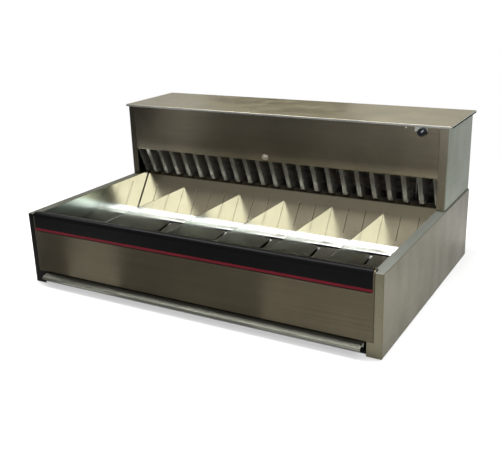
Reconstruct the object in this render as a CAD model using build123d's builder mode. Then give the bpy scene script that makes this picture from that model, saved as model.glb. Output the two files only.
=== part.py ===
from build123d import *
from math import cos, dist, hypot, radians, sin, tan
import os

# Heated holding station for fried food: a low sheet-metal base with a sectioned
# trough, and a raised hood behind it that blows warm air over the trough.
# Millimetres. X runs along the front, +Y to the rear, +Z up.
# The origin is the middle of the whole part's footprint, on the counter.

# --- driving dimensions -------------------------------------------------------

sheet = 1.2  # wall of every folded panel
bend = 2.0  # outside bend radius of the panels
seam = 0.4  # gap between neighbouring fixed panels
seat_gap = 0.3  # gap under a piece that lifts or slides

slot_pitch = 50.8  # spacing of the divider slots
slot_spaces = 19  # slot pitches across the trough
divider_slots = (3, 7, 10, 13, 16)  # slots that hold a divider

base_depth = 705.0
base_height = 200.0
top_flange = 25.4  # flat rim on each side of the trough
foot_flange = 36.0  # front return of each side, the visible foot
rear_flange = 25.4
total_height = 424.0
hood_setback = 461.0  # hood front, behind the base front
hood_inset = 3.5  # hood side, inside the base side
cover_overhang = 5.0
cover_skirt = 6.0
cover_front_overhang = 4.0
cover_rear_overhang = 3.0
mitre_notch = 2.2

wall_slope = 55.4  # trough rear wall, degrees from level
floor_slope = 8.0  # trough floor, falling to the front
front_slope = 62.0  # trough front wall
corner_setback = 30.5  # hood front to where floor and rear wall would meet
trough_depth = 118.0  # base top to that corner
rear_cove = 25.0
front_cove = 120.0
cove_share = 0.98  # most of a straight run that the front cove may take up
rim_gap = 1.0  # between the black trim and the trough's front lip
rim_lip = 11.0  # upright lip behind the trim
rail_rise = 14.0  # how far the rear cove strip runs up the wall
wall_side_gap = 3.0  # between the rear wall and each end wall
floor_strip = 21.2  # flat run of the cove strip
ledge_reach = 14.0
screen_depth = 204.0  # along the sloping floor
screen_sink = 3.5  # below the trough's floor
screen_skirt = 8.0
screen_margin = 5.0  # gap around each screen
hole_radius = 1.6
hole_pitch = 12.7

divider_drop = 34.0  # below the base top
divider_clearance = 0.4
slot_width = 1.8
slot_start = 18.0  # along the wall from the trough's rear corner
slot_end = 102.0
tab_length = 16.0
tab_reach = 1.4
tab_places = (42.0, 88.0)

foot_reveal = 20.0  # foot seen beside the front panel
panel_stand_off = 0.3  # front panel in front of the feet
panel_bottom = 36.0
panel_return = 15.0
nose_width = 20.3  # centre lines of the rolled top edge
nose_flat = 0.1
nose_rise = 3.2  # above the base top
nose_back_drop = 19.0
trim = 1.0  # thickness of the black edge trim
trim_height = 50.2
trim_inset = 4.0
trim_corner = 4.0
stripe_rise = 2.5
stripe_height = 6.5
stripe_depth = 0.5
stripe_proud = 0.1

tray_inset = 58.0
tray_depth = 476.0
tray_setback = 2.5
tray_floor_height = 9.6
tray_wall = 21.0
tray_lip_gap = 7.0  # beside each foot
tray_lip_reach = 19.0
tray_lip_top = 34.6
tray_lip_drop = 10.0
tray_lip_hem = 5.0
runner_wall = 26.0
runner_shelf = 14.0
pan_setback = 8.0

outlet_opening = 84.0  # base top to the hood's front sheet
fascia_return = 12.0
fascia_top_gap = 4.0
vane_spaces = 22
vane_sheet = 1.0
vane_chord = 48.0  # front edge to rear edge
vane_flange = 12.0  # along its front edge, turned to the left
vane_lean = 34.5  # its foot lies this far behind its top
vane_front_gap = 3.0
vane_top_gap = 0.2
end_flange = 13.0
end_hole_radius = 2.2
end_hole_inset = 5.5
end_hole_drop = 16.0

plenum_run = 127.0  # hood front to the plenum's back plate
heater_gap = 22.0  # heater ahead of that plate
heater_tube = 4.0
heater_rows = 4
heater_pitch = 20.0
heater_rise = 15.6  # lowest run above the hood floor
heater_end_gap = 52.6
heater_tail = 15.0
heater_bracket_gap = 30.0
heater_bracket_depth = 30.0
heater_clearance = 0.1
heater_turn_radius = 9.9

blower_run = 57.0  # shaft behind the plenum's back plate
scroll_radius = 55.0
scroll_wall = 1.0
scroll_width = 62.0
scroll_place = 120.0
outlet_height = 45.0
inlet_radius = 34.0
wheel_radius = 42.0
wheel_width = 50.0
wheel_blades = 24
wheel_blade_height = 8.0
wheel_hub_radius = 9.0
shaft_radius = 4.0
shaft_half = 165.0
shaft_clearance = 0.05
motor_radius = 40.0
motor_half = 40.0
motor_fins = 7
motor_fin_pitch = 8.6
saddle_width = 60.0
saddle_rise = 16.0
return_width = 200.0
return_depth = 80.0
return_place = 320.0

knob_edge_distance = 70.0
knob_drop = 18.0  # below the lid
knob_radius = 10.5
knob_length = 14.0
knob_gap = 0.3
knob_edge = 1.0
knob_flutes = 14
knob_flute_radius = 1.2
knob_skirt = 3.0
spindle_radius = 3.0
spindle_clearance = 0.05
spindle_depth = 20.0
bushing_radius = 4.6
bushing_clearance = 0.1
pointer_width = 2.2
pointer_length = 8.0
pointer_depth = 0.6
pointer_inset = 1.0
pointer_angle = 48.0
switch_size = 20.0
switch_depth = 26.0
plate_shift = 4.0
plate_width = 34.0
plate_drop = 18.5
plate_height = 12.0
plate_thickness = 0.5
plate_corner = 1.0
lock_x = -20.0
lock_rise = 13.0  # above the opening
lock_width = 22.0
lock_tall = 14.0
lock_thickness = 1.2
lock_screw_radius = 3.5
fascia_screw_x = 394.0
fascia_screw_drop = 10.0  # below the lid
fascia_screw_radius = 2.6
fascia_screw_head = 1.0

rear_panel_inset = 13.0
rear_panel_gap = 6.0  # below each rear panel
hood_panel_drop = 12.0
base_panel_drop = 4.0
vent_width = 60.0
vent_height = 5.0
vent_columns = 4
vent_rows = 5
vent_column_pitch = 90.0
vent_row_pitch = 16.0
vent_level = 0.6  # share of the panel's height
base_vent_rows = 3
base_vent_level = 0.55
screw_radius = 4.0
screw_head = 2.2
screw_shank = 1.9
screw_recess = 4.6
screw_recess_width = 0.9
screw_edge = 7.0
screw_columns = 5

gland_edge_distance = 108.0
gland_height = 60.0
gland_reach = 11.0
gland_bore = 5.5
gland_thread = 9.0
gland_hex = 12.5
gland_nut = 5.0
gland_tail = 14.0
block_size = (60.0, 24.0, 20.0)
block_gap = 40.0  # from the base rear
thermostat_radius = 8.0
thermostat_height = 10.0
thermostat_edge = 1.0
thermostat_x = 250.0
thermostat_gap = 48.0  # ahead of the plenum's back plate

# --- derived places -----------------------------------------------------------

inner_width = slot_pitch * slot_spaces
base_width = inner_width + 2 * top_flange
half_inner = inner_width / 2
half_base = base_width / 2
panel_half_width = half_base - foot_reveal
trim_half_width = panel_half_width - trim_inset
tray_half_width = half_base - tray_inset
tray_lip_half_width = half_base - foot_flange - tray_lip_gap
rear_panel_half = half_base - rear_panel_inset
overall_depth = tray_lip_reach + base_depth + gland_reach
front_y = tray_lip_reach - overall_depth / 2


def back(distance):
    """Y of a point this far behind the base's front."""
    return front_y + distance


rear_y = back(base_depth)
hood_y = back(hood_setback)
half_hood = half_base - hood_inset
hood_low = base_height
hood_high = total_height - sheet
hood_floor_low = hood_low + sheet
hood_floor_top = hood_floor_low + sheet
wall_top = hood_floor_low
fascia_bottom = base_height + outlet_opening
rear_corner_depth = hood_setback - corner_setback
rear_corner_height = base_height - trough_depth
divider_top = base_height - divider_drop
plenum_depth = hood_setback + plenum_run
heater_depth = plenum_depth - heater_gap
heater_low = hood_floor_top + heater_rise
heater_half = half_inner - heater_end_gap
heater_terminal = heater_half + heater_tail
heater_bracket_place = heater_half - heater_bracket_gap
blower_depth = plenum_depth + blower_run
thermostat_depth = plenum_depth - thermostat_gap
knob_x = half_base - knob_edge_distance
knob_height = total_height - knob_drop
plate_x = knob_x - plate_shift
plate_low = total_height - plate_drop
lock_height = fascia_bottom + lock_rise
fascia_screw_height = total_height - fascia_screw_drop
hood_panel_low = base_height + rear_panel_gap
hood_panel_high = total_height - hood_panel_drop
base_panel_low = rear_panel_gap
base_panel_high = base_height - base_panel_drop
gland_x = half_base - gland_edge_distance
block_depth = base_depth - block_gap

panel_y = front_y - panel_stand_off - sheet / 2
nose_top = base_height + nose_rise
nose_back_y = panel_y + nose_width
trim_bottom = nose_top - trim_height
stripe_low = trim_bottom + stripe_rise
nose_radius = nose_width / 2 - nose_flat
trim_shift = (sheet + trim) / 2
lip_y = nose_back_y + trim_shift + trim / 2 + rim_gap + sheet / 2
lip_top = nose_top - sheet
lip_foot = lip_top - rim_lip
ledge_drop = screen_sink + screen_skirt + seat_gap

# --- trough outline -----------------------------------------------------------


def meet(point_a, angle_a, point_b, angle_b):
    """Crossing of two lines in the Y-Z plane, each a point and a direction."""
    ay, az = cos(radians(angle_a)), sin(radians(angle_a))
    by, bz = cos(radians(angle_b)), sin(radians(angle_b))
    dy, dz = point_b[0] - point_a[0], point_b[1] - point_a[1]
    run = (dy * bz - dz * by) / (ay * bz - az * by)
    return (point_a[0] + run * ay, point_a[1] + run * az)


def along(point, angle, run):
    """Point this far from a point, at an angle in the Y-Z plane."""
    return (point[0] + run * cos(radians(angle)), point[1] + run * sin(radians(angle)))


def trough_lines(inset):
    """Front wall, floor and rear wall lines, this far inside the trough's surface."""
    front = along((lip_y, lip_foot), 90 - front_slope, inset)
    corner = (back(rear_corner_depth), rear_corner_height)
    floor = along(corner, 90 + floor_slope, inset)
    rear = along(corner, 90 + wall_slope, inset)
    return front, floor, rear


def trough_corners(inset):
    front, floor, rear = trough_lines(inset)
    front_corner = meet(front, -front_slope, floor, floor_slope)
    rear_corner = meet(floor, floor_slope, rear, wall_slope)
    return front_corner, rear_corner


def line_at_height(point, angle, height):
    return meet(point, angle, (0.0, height), 0.0)


sheet_front_line, _, sheet_rear_line = trough_lines(-sheet / 2)
sheet_front_corner, sheet_rear_corner = trough_corners(-sheet / 2)
_, surface_rear_corner = trough_corners(0.0)
lip_corner = meet((lip_y, lip_foot), 90, sheet_front_line, -front_slope)
strip_end = along(sheet_rear_corner, 180 + floor_slope, floor_strip)
screen_rear = along(surface_rear_corner, 180 + floor_slope, floor_strip + screen_margin)
screen_front = along(screen_rear, 180 + floor_slope, screen_depth)
front_strip_end = along(screen_front, 180 + floor_slope, screen_margin)
front_strip_centre = along(front_strip_end, floor_slope - 90, sheet / 2)
front_ledge_corner = along(front_strip_centre, floor_slope - 90, ledge_drop)
rear_ledge_corner = along(strip_end, floor_slope - 90, ledge_drop)
cove_runs = (dist(lip_corner, sheet_front_corner), dist(sheet_front_corner, front_strip_centre))
cove_reach = (cove_share * min(cove_runs) - bend) / tan(radians(front_slope + floor_slope) / 2)
cove_radius = min(front_cove, cove_reach - sheet / 2)

# --- helpers ------------------------------------------------------------------


def cross_plane(y):
    """X-Z plane at a given Y; a negative extrusion runs to the rear."""
    return Plane.XZ.offset(-y)


def strip_along_x(points, radii, half_length, thickness=sheet):
    """Folded strip: its Y-Z centre line, thickened and run along X."""
    with BuildPart() as strip:
        with BuildSketch(Plane.YZ):
            with BuildLine():
                FilletPolyline(*points, radius=radii)
            trace(line_width=thickness)
        extrude(amount=half_length, both=True)
    return strip


def folded_pan(low, high, axis, open_end, thickness=sheet, radius=bend):
    """Sheet folded up round four sides; open_end 0 or -1 picks the open face."""
    size = [top - bottom for bottom, top in zip(low, high)]
    middle = tuple((top + bottom) / 2 for bottom, top in zip(low, high))
    with BuildPart() as pan:
        with Locations(middle):
            Box(*size)
        open_edges = pan.faces().sort_by(axis)[open_end].edges()
        fillet(pan.edges() - open_edges, radius)
        offset(amount=-thickness, openings=pan.faces().sort_by(axis)[open_end])
    return pan


def keep(name, piece):
    """Label a finished piece and write it out."""
    piece.part.label = name
    export_step(piece.part, f"parts/{name}.step")


def slot_x(slot):
    return slot * slot_pitch - half_inner


os.makedirs("parts", exist_ok=True)

# --- base ---------------------------------------------------------------------


def make_base_side():
    """Right side: wall, top rim, foot return, bottom and rear returns."""
    low = (half_base - foot_flange, front_y, 0.0)
    high = (half_base, rear_y, base_height)
    side = folded_pan(low, high, Axis.X, 0)
    rim_cut = foot_flange - top_flange
    nose_cut = panel_half_width + seam - low[0]
    with BuildPart() as shaped:
        add(side.part)
        with Locations((low[0], front_y + sheet, 0)):
            Box(
                rim_cut,
                base_depth,
                base_height,
                align=(Align.MIN, Align.MIN, Align.MIN),
                mode=Mode.SUBTRACT,
            )
        with Locations((low[0], front_y, lip_foot - bend)):
            Box(
                nose_cut,
                lip_y + sheet - front_y,
                base_height,
                align=(Align.MIN, Align.MIN, Align.MIN),
                mode=Mode.SUBTRACT,
            )
    return shaped


base_side_right = make_base_side()
keep("base_side_right", base_side_right)

with BuildPart() as base_side_left:
    add(mirror(base_side_right.part, about=Plane.YZ))
keep("base_side_left", base_side_left)

with BuildPart() as base_pan:
    with BuildSketch(Plane.XY.offset(sheet)):
        with Locations((0, back((base_depth + pan_setback - bend) / 2))):
            Rectangle(base_width - 2 * bend, base_depth - pan_setback - bend)
    extrude(amount=sheet)
keep("base_pan", base_pan)


def make_front_panel():
    """Front sheet with a rolled top edge and a bottom return between the feet."""
    folded = strip_along_x(
        [
            (panel_y + panel_return, panel_bottom + sheet / 2),
            (panel_y, panel_bottom + sheet / 2),
            (panel_y, nose_top),
            (nose_back_y, nose_top),
            (nose_back_y, nose_top - nose_back_drop),
        ],
        [bend, nose_radius, nose_radius],
        panel_half_width,
    )
    return_half = half_base - foot_flange - seam
    with BuildPart() as panel:
        add(folded.part)
        for side in (-1, 1):
            with Locations((side * return_half, panel_y + sheet / 2, panel_bottom)):
                Box(
                    foot_flange,
                    panel_return,
                    2 * bend,
                    align=(Align.MIN if side > 0 else Align.MAX, Align.MIN, Align.MIN),
                    mode=Mode.SUBTRACT,
                )
    return panel


front_panel = make_front_panel()
keep("front_panel", front_panel)


def make_edge_trim():
    """Black trim over the rolled edge, with a shallow groove for the stripe."""
    face_y = panel_y - trim_shift
    outer_radius = nose_radius + trim_shift
    cover = strip_along_x(
        [
            (face_y, trim_bottom),
            (face_y, nose_top + trim_shift),
            (nose_back_y + trim_shift, nose_top + trim_shift),
            (nose_back_y + trim_shift, nose_top - nose_back_drop + trim_corner),
        ],
        [outer_radius, outer_radius],
        trim_half_width,
        trim,
    )
    with BuildPart() as shaped:
        add(cover.part)
        low_corners = shaped.edges().filter_by(Axis.Y).group_by(Axis.Z)[0]
        fillet(low_corners, trim_corner)
        with Locations((0, face_y - trim / 2, stripe_low)):
            Box(
                base_width,
                2 * stripe_depth,
                stripe_height,
                align=(Align.CENTER, Align.CENTER, Align.MIN),
                mode=Mode.SUBTRACT,
            )
    return shaped


edge_trim = make_edge_trim()
keep("edge_trim", edge_trim)

with BuildPart() as red_stripe:
    with BuildSketch(cross_plane(panel_y - trim_shift - trim / 2 + stripe_depth)):
        with Locations((0, stripe_low + stripe_height / 2)):
            Rectangle(2 * trim_half_width, stripe_height)
    extrude(amount=stripe_depth + stripe_proud)
keep("red_stripe", red_stripe)

# --- trough -------------------------------------------------------------------

trough_front = strip_along_x(
    [
        (lip_y, lip_top),
        lip_corner,
        sheet_front_corner,
        front_strip_centre,
        front_ledge_corner,
        along(front_ledge_corner, floor_slope, ledge_reach),
    ],
    [bend, cove_radius + sheet / 2, bend, bend],
    half_inner,
)
keep("trough_front", trough_front)

trough_cove = strip_along_x(
    [
        along(sheet_rear_corner, wall_slope, rail_rise),
        sheet_rear_corner,
        strip_end,
        rear_ledge_corner,
        along(rear_ledge_corner, 180 + floor_slope, ledge_reach),
    ],
    [rear_cove + sheet / 2, bend, bend],
    half_inner,
)
keep("trough_cove", trough_cove)


def make_trough_back():
    """Sloping rear wall with a slot for a divider at every pitch."""
    top = line_at_height(sheet_rear_line, wall_slope, wall_top - sheet / 2)
    wall = strip_along_x(
        [
            along(sheet_rear_corner, wall_slope, rail_rise + seam),
            top,
            (top[0] + rear_flange, top[1]),
        ],
        [bend],
        half_inner - wall_side_gap,
    )
    middle = along(surface_rear_corner, wall_slope, (slot_start + slot_end) / 2)
    face = Plane(
        origin=(0, middle[0], middle[1]),
        x_dir=(1, 0, 0),
        z_dir=(0, -sin(radians(wall_slope)), cos(radians(wall_slope))),
    )
    with BuildPart() as slotted:
        add(wall.part)
        with BuildSketch(face):
            with GridLocations(slot_pitch, 1, slot_spaces - 1, 1):
                Rectangle(slot_width, slot_end - slot_start)
        extrude(amount=2 * sheet, both=True, mode=Mode.SUBTRACT)
    return slotted


trough_back = make_trough_back()
keep("trough_back", trough_back)


def make_trough_end(side):
    """End wall of the trough, hung under the top rim."""
    margin = ledge_drop + 3 * sheet
    front_corner, rear_corner = trough_corners(-margin)
    top = base_height - sheet
    rear_top = line_at_height(trough_lines(-margin)[2], wall_slope, top)
    with BuildPart() as end:
        with BuildSketch(Plane.YZ.offset(side * half_inner)):
            with BuildLine():
                edge = FilletPolyline(
                    (lip_y + sheet, top),
                    (lip_y + sheet, lip_foot - bend),
                    front_corner,
                    rear_corner,
                    rear_top,
                    radius=[bend, cove_radius, rear_cove],
                )
                Line(edge @ 1, edge @ 0)
            make_face()
        extrude(amount=side * sheet)
    return end


trough_end_left = make_trough_end(-1)
keep("trough_end_left", trough_end_left)
trough_end_right = make_trough_end(1)
keep("trough_end_right", trough_end_right)


def make_screen(low_x, high_x):
    """Perforated lift-out floor of one section, with folded-down edges."""
    width = high_x - low_x
    middle = along(screen_rear, 180 + floor_slope, screen_depth / 2)
    middle = along(middle, floor_slope - 90, screen_sink)
    floor = Plane(
        origin=((low_x + high_x) / 2, middle[0], middle[1]),
        x_dir=(1, 0, 0),
        z_dir=(0, -sin(radians(floor_slope)), cos(radians(floor_slope))),
    )
    columns = int((width - 4 * bend) / hole_pitch)
    rows = int((screen_depth - 4 * bend) / hole_pitch)
    with BuildPart() as screen:
        with BuildSketch(floor):
            Rectangle(width, screen_depth)
        extrude(amount=-screen_skirt)
        underside = screen.faces().sort_by(Axis.Z)[0]
        fillet(screen.edges() - underside.edges(), bend)
        offset(amount=-sheet, openings=screen.faces().sort_by(Axis.Z)[0])
        with BuildSketch(floor):
            with GridLocations(hole_pitch, hole_pitch, columns, rows):
                Circle(hole_radius)
        extrude(amount=-2 * sheet, mode=Mode.SUBTRACT)
    return screen


def make_divider(x):
    """Flat divider shaped to the trough, with two tabs for the wall slots."""
    front_corner, rear_corner = trough_corners(divider_clearance)
    front, _, rear = trough_lines(divider_clearance)
    with BuildPart() as divider:
        with BuildSketch(Plane.YZ.offset(x)):
            with BuildLine():
                edge = FilletPolyline(
                    line_at_height(front, -front_slope, divider_top),
                    front_corner,
                    rear_corner,
                    line_at_height(rear, wall_slope, divider_top),
                    radius=[cove_radius - divider_clearance, rear_cove - divider_clearance],
                )
                Line(edge @ 1, edge @ 0)
            make_face()
            for place in tab_places:
                with Locations(along(rear_corner, wall_slope, place)):
                    Rectangle(tab_length, 2 * (tab_reach + divider_clearance), rotation=wall_slope)
        extrude(amount=sheet / 2, both=True)
    return divider


section_edges = (0,) + divider_slots + (slot_spaces,)
for number, (left_slot, right_slot) in enumerate(zip(section_edges, section_edges[1:]), 1):
    product_screen = make_screen(
        slot_x(left_slot) + screen_margin, slot_x(right_slot) - screen_margin
    )
    keep(f"product_screen_{number}", product_screen)

for number, slot in enumerate(divider_slots, 1):
    divider = make_divider(slot_x(slot))
    keep(f"divider_{number}", divider)

# --- crumb tray ---------------------------------------------------------------

tray_front_y = back(tray_setback)


def make_crumb_tray():
    """Shallow pan whose front turns over into a sloping pull lip."""
    pan = folded_pan(
        (-tray_half_width, tray_front_y, tray_floor_height),
        (tray_half_width, tray_front_y + tray_depth, tray_floor_height + tray_wall),
        Axis.Z,
        -1,
    )
    lip_line_y = tray_front_y + sheet / 2
    tip = (back(-tray_lip_reach) + sheet / 2, tray_lip_top - tray_lip_drop)
    lip = strip_along_x(
        [
            (lip_line_y, tray_floor_height + tray_wall / 2),
            (lip_line_y, tray_lip_top),
            tip,
            (tip[0], tip[1] - tray_lip_hem),
        ],
        [bend, bend],
        tray_lip_half_width,
    )
    with BuildPart() as tray:
        add(pan.part)
        add(lip.part)
    return tray


crumb_tray = make_crumb_tray()
keep("crumb_tray", crumb_tray)


def make_runner(side):
    """Angle that carries and guides one side of the tray."""
    base = 2 * sheet
    wall_x = side * (tray_half_width + seat_gap)
    shelf_high = tray_floor_height - seat_gap
    with BuildPart() as runner:
        with BuildSketch(cross_plane(back(2 * pan_setback))):
            with Locations((wall_x, base)):
                Rectangle(sheet, runner_wall, align=(Align.MIN if side > 0 else Align.MAX, Align.MIN))
            with Locations((wall_x - side * runner_shelf, shelf_high - sheet)):
                Rectangle(runner_shelf, sheet, align=(Align.MIN if side > 0 else Align.MAX, Align.MIN))
        extrude(amount=-tray_depth)
    return runner


tray_runner_left = make_runner(-1)
keep("tray_runner_left", tray_runner_left)
tray_runner_right = make_runner(1)
keep("tray_runner_right", tray_runner_right)

# --- hood shell ---------------------------------------------------------------

hood_side_right = folded_pan(
    (half_inner, hood_y, hood_low), (half_hood, rear_y, hood_high), Axis.X, 0
)
keep("hood_side_right", hood_side_right)
with BuildPart() as hood_side_left:
    add(mirror(hood_side_right.part, about=Plane.YZ))
keep("hood_side_left", hood_side_left)

fascia_y = hood_y + sheet / 2
fascia_top = hood_high - fascia_top_gap


def make_hood_fascia():
    """Front sheet of the hood, with the switch and lock holes."""
    panel = strip_along_x(
        [
            (fascia_y + fascia_return, fascia_bottom + sheet / 2),
            (fascia_y, fascia_bottom + sheet / 2),
            (fascia_y, fascia_top),
            (fascia_y + fascia_return, fascia_top),
        ],
        [bend, bend],
        half_inner - seam,
    )
    with BuildPart() as fascia:
        add(panel.part)
        with BuildSketch(cross_plane(hood_y)):
            with Locations((knob_x, knob_height)):
                Circle(bushing_radius + bushing_clearance)
            with Locations((lock_x, lock_height), (fascia_screw_x, fascia_screw_height)):
                Circle(screw_shank + bushing_clearance)
        extrude(amount=-2 * sheet, mode=Mode.SUBTRACT)
    return fascia


hood_fascia = make_hood_fascia()
keep("hood_fascia", hood_fascia)


def make_top_cover():
    """Lid of the hood, with down-turned edges notched at the corners."""
    low = (-half_base - cover_overhang, hood_y - cover_front_overhang, total_height - cover_skirt)
    high = (half_base + cover_overhang, rear_y + cover_rear_overhang, total_height)
    lid = folded_pan(low, high, Axis.Z, 0)
    middle_y = (low[1] + high[1]) / 2
    with BuildPart() as cover:
        add(lid.part)
        with Locations((0, middle_y, low[2])):
            with GridLocations(high[0] - low[0], high[1] - low[1], 2, 2):
                Box(
                    2 * mitre_notch,
                    2 * mitre_notch,
                    cover_skirt - bend,
                    align=(Align.CENTER, Align.CENTER, Align.MIN),
                    mode=Mode.SUBTRACT,
                )
    return cover


top_cover = make_top_cover()
keep("top_cover", top_cover)

with BuildPart() as hood_floor:
    with BuildSketch(Plane.XY.offset(hood_floor_low)):
        floor_front = line_at_height(sheet_rear_line, wall_slope, wall_top)[0] + bend
        with Locations((0, (floor_front + rear_y - bend) / 2)):
            Rectangle(2 * (half_hood - bend), rear_y - bend - floor_front)
        for side in (-1, 1):
            with Locations((side * return_place, back(blower_depth))):
                Rectangle(return_width, return_depth, mode=Mode.SUBTRACT)
    extrude(amount=sheet)
keep("hood_floor", hood_floor)

# --- rear panels --------------------------------------------------------------


def make_rear_panel(low_z, high_z, rows, level):
    """Rear sheet with rows of vent slots at a share of its height."""
    centre_z = low_z + level * (high_z - low_z)
    with BuildPart() as panel:
        with BuildSketch(cross_plane(rear_y)):
            with Locations((0, (low_z + high_z) / 2)):
                Rectangle(2 * rear_panel_half, high_z - low_z)
            with Locations((0, centre_z)):
                with GridLocations(vent_column_pitch, vent_row_pitch, vent_columns, rows):
                    SlotOverall(vent_width, vent_height, mode=Mode.SUBTRACT)
        extrude(amount=-sheet)
    return panel


hood_rear_panel = make_rear_panel(hood_panel_low, hood_panel_high, vent_rows, vent_level)
keep("hood_rear_panel", hood_rear_panel)

base_sheet = make_rear_panel(
    base_panel_low, base_panel_high, base_vent_rows, base_vent_level
)
with BuildPart() as base_rear_panel:
    add(base_sheet.part)
    with BuildSketch(cross_plane(rear_y)):
        with Locations((gland_x, gland_height)):
            Circle(gland_thread + bushing_clearance)
    extrude(amount=-sheet, mode=Mode.SUBTRACT)
keep("base_rear_panel", base_rear_panel)


def screw_places(low_z, high_z):
    """Screw centres round a rear panel."""
    across = [
        -rear_panel_half + screw_edge + column * (rear_panel_half - screw_edge) * 2 / (screw_columns - 1)
        for column in range(screw_columns)
    ]
    return [(x, z) for x in across for z in (low_z + screw_edge, high_z - screw_edge)]


all_screw_places = screw_places(hood_panel_low, hood_panel_high)
all_screw_places += screw_places(base_panel_low, base_panel_high)
with BuildPart() as rear_screws:
    with BuildSketch(cross_plane(rear_y + sheet)):
        with Locations(*all_screw_places):
            Circle(screw_radius)
    extrude(amount=-screw_head)
    crowns = rear_screws.faces().sort_by(Axis.Y).group_by(Axis.Y)[-1].edges()
    fillet(crowns, screw_head / 3)
    with BuildSketch(cross_plane(rear_y + sheet + screw_head)):
        with Locations(*all_screw_places):
            Rectangle(screw_recess, screw_recess_width)
            Rectangle(screw_recess_width, screw_recess)
    extrude(amount=screw_head / 2, mode=Mode.SUBTRACT)
keep("rear_screws", rear_screws)

# --- vanes --------------------------------------------------------------------

vane_top = fascia_bottom - vane_top_gap
vane_front_y = hood_y + vane_front_gap
vane_pitch = inner_width / vane_spaces


def vane_outline(chord):
    """Side view of an end plate, its front edge sloping back to the hood floor."""
    return Polygon(
        (vane_front_y, vane_top),
        (vane_front_y + vane_lean, hood_floor_top),
        (vane_front_y + vane_lean + chord, hood_floor_top),
        (vane_front_y + chord, vane_top),
        align=None,
    )


def vane_profile():
    """Plan view of a vane, its front edge turned to the left."""
    half = vane_sheet / 2
    rear_y = vane_front_y + vane_chord
    return Polygon(
        (-vane_flange, vane_front_y),
        (half, vane_front_y),
        (half, rear_y),
        (-half, rear_y),
        (-half, vane_front_y + vane_sheet),
        (-vane_flange, vane_front_y + vane_sheet),
        align=None,
    )


vane_drop = vane_top - hood_floor_top
with BuildPart() as air_vanes:
    with BuildSketch(Plane.XY.offset(vane_top)):
        for number in range(1, vane_spaces):
            with Locations((number * vane_pitch - half_inner, 0)):
                vane_profile()
    extrude(amount=hypot(vane_drop, vane_lean), dir=(0, vane_lean, -vane_drop))
keep("air_vanes", air_vanes)


def make_vane_end(side):
    """End plate of the row of vanes."""
    with BuildPart() as end:
        with BuildSketch(Plane.YZ.offset(side * (half_inner - seam - sheet))):
            vane_outline(vane_chord)
        extrude(amount=side * sheet)
    return end


vane_end_left = make_vane_end(-1)
keep("vane_end_left", vane_end_left)

end_plate = make_vane_end(1)
with BuildPart() as vane_end_right:
    add(end_plate.part)
    with BuildSketch(Plane.YZ.offset(half_inner - seam)):
        vane_outline(sheet)
    extrude(amount=-end_flange)
    with BuildSketch(cross_plane(vane_front_y)):
        with Locations((half_inner - seam - end_hole_inset, vane_top - end_hole_drop)):
            Circle(end_hole_radius)
    extrude(amount=-vane_chord, mode=Mode.SUBTRACT)
keep("vane_end_right", vane_end_right)

# --- plenum, heater -----------------------------------------------------------


def make_plenum_box():
    """Roof and back plate of the hot-air plenum, open at the blower outlets."""
    roof_z = fascia_bottom + 3 * sheet / 2
    plate_y = back(plenum_depth) + sheet / 2
    box = strip_along_x(
        [
            (fascia_y + sheet / 2 + bend, roof_z),
            (plate_y, roof_z),
            (plate_y, hood_floor_top),
        ],
        [bend],
        half_inner - seam,
    )
    with BuildPart() as plenum:
        add(box.part)
        with BuildSketch(cross_plane(back(plenum_depth))):
            for side in (-1, 1):
                with Locations((side * scroll_place, hood_floor_top + outlet_height / 2)):
                    Rectangle(scroll_width - 2 * scroll_wall, outlet_height - 2 * scroll_wall)
        extrude(amount=-2 * sheet, mode=Mode.SUBTRACT)
    return plenum


plenum_box = make_plenum_box()
keep("plenum_box", plenum_box)

heater_y = back(heater_depth)
heater_heights = [heater_low + row * heater_pitch for row in range(heater_rows)]


def make_heater():
    """Tubular element folded into level runs."""
    points = [(heater_terminal, heater_y, heater_heights[0])]
    for row in range(heater_rows - 1):
        turn_x = -heater_half if row % 2 == 0 else heater_half
        points.append((turn_x, heater_y, heater_heights[row]))
        points.append((turn_x, heater_y, heater_heights[row + 1]))
    points.append((heater_terminal, heater_y, heater_heights[-1]))
    with BuildPart() as element:
        with BuildLine() as route:
            FilletPolyline(*points, radius=heater_turn_radius)
        with BuildSketch(Plane(origin=points[0], z_dir=(-1, 0, 0))):
            Circle(heater_tube)
        sweep(path=route.wires()[0])
    return element


heater_element = make_heater()
keep("heater_element", heater_element)


def make_heater_bracket(side):
    """Upright plate with a hole for each run of the element."""
    with BuildPart() as bracket:
        with BuildSketch(Plane.YZ.offset(side * heater_bracket_place)):
            with Locations((heater_y, hood_floor_top)):
                Rectangle(
                    heater_bracket_depth,
                    fascia_bottom - hood_floor_top,
                    align=(Align.CENTER, Align.MIN),
                )
            for height in heater_heights:
                with Locations((heater_y, height)):
                    Circle(heater_tube + heater_clearance, mode=Mode.SUBTRACT)
        extrude(amount=side * sheet)
    return bracket


heater_bracket_left = make_heater_bracket(-1)
keep("heater_bracket_left", heater_bracket_left)
heater_bracket_right = make_heater_bracket(1)
keep("heater_bracket_right", heater_bracket_right)

# --- blowers ------------------------------------------------------------------

shaft_y = back(blower_depth)
shaft_z = hood_floor_top + scroll_radius
outlet_y = back(plenum_depth) + sheet


def scroll_outline(wall):
    """Round housing with a straight outlet along its bottom, this far inside."""
    with BuildSketch(Plane.YZ) as outline:
        with Locations((shaft_y, shaft_z)):
            Circle(scroll_radius - wall)
        with Locations((outlet_y, hood_floor_top + wall)):
            Rectangle(
                shaft_y - outlet_y,
                outlet_height - 2 * wall,
                align=(Align.MIN, Align.MIN),
            )
    return outline


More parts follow.
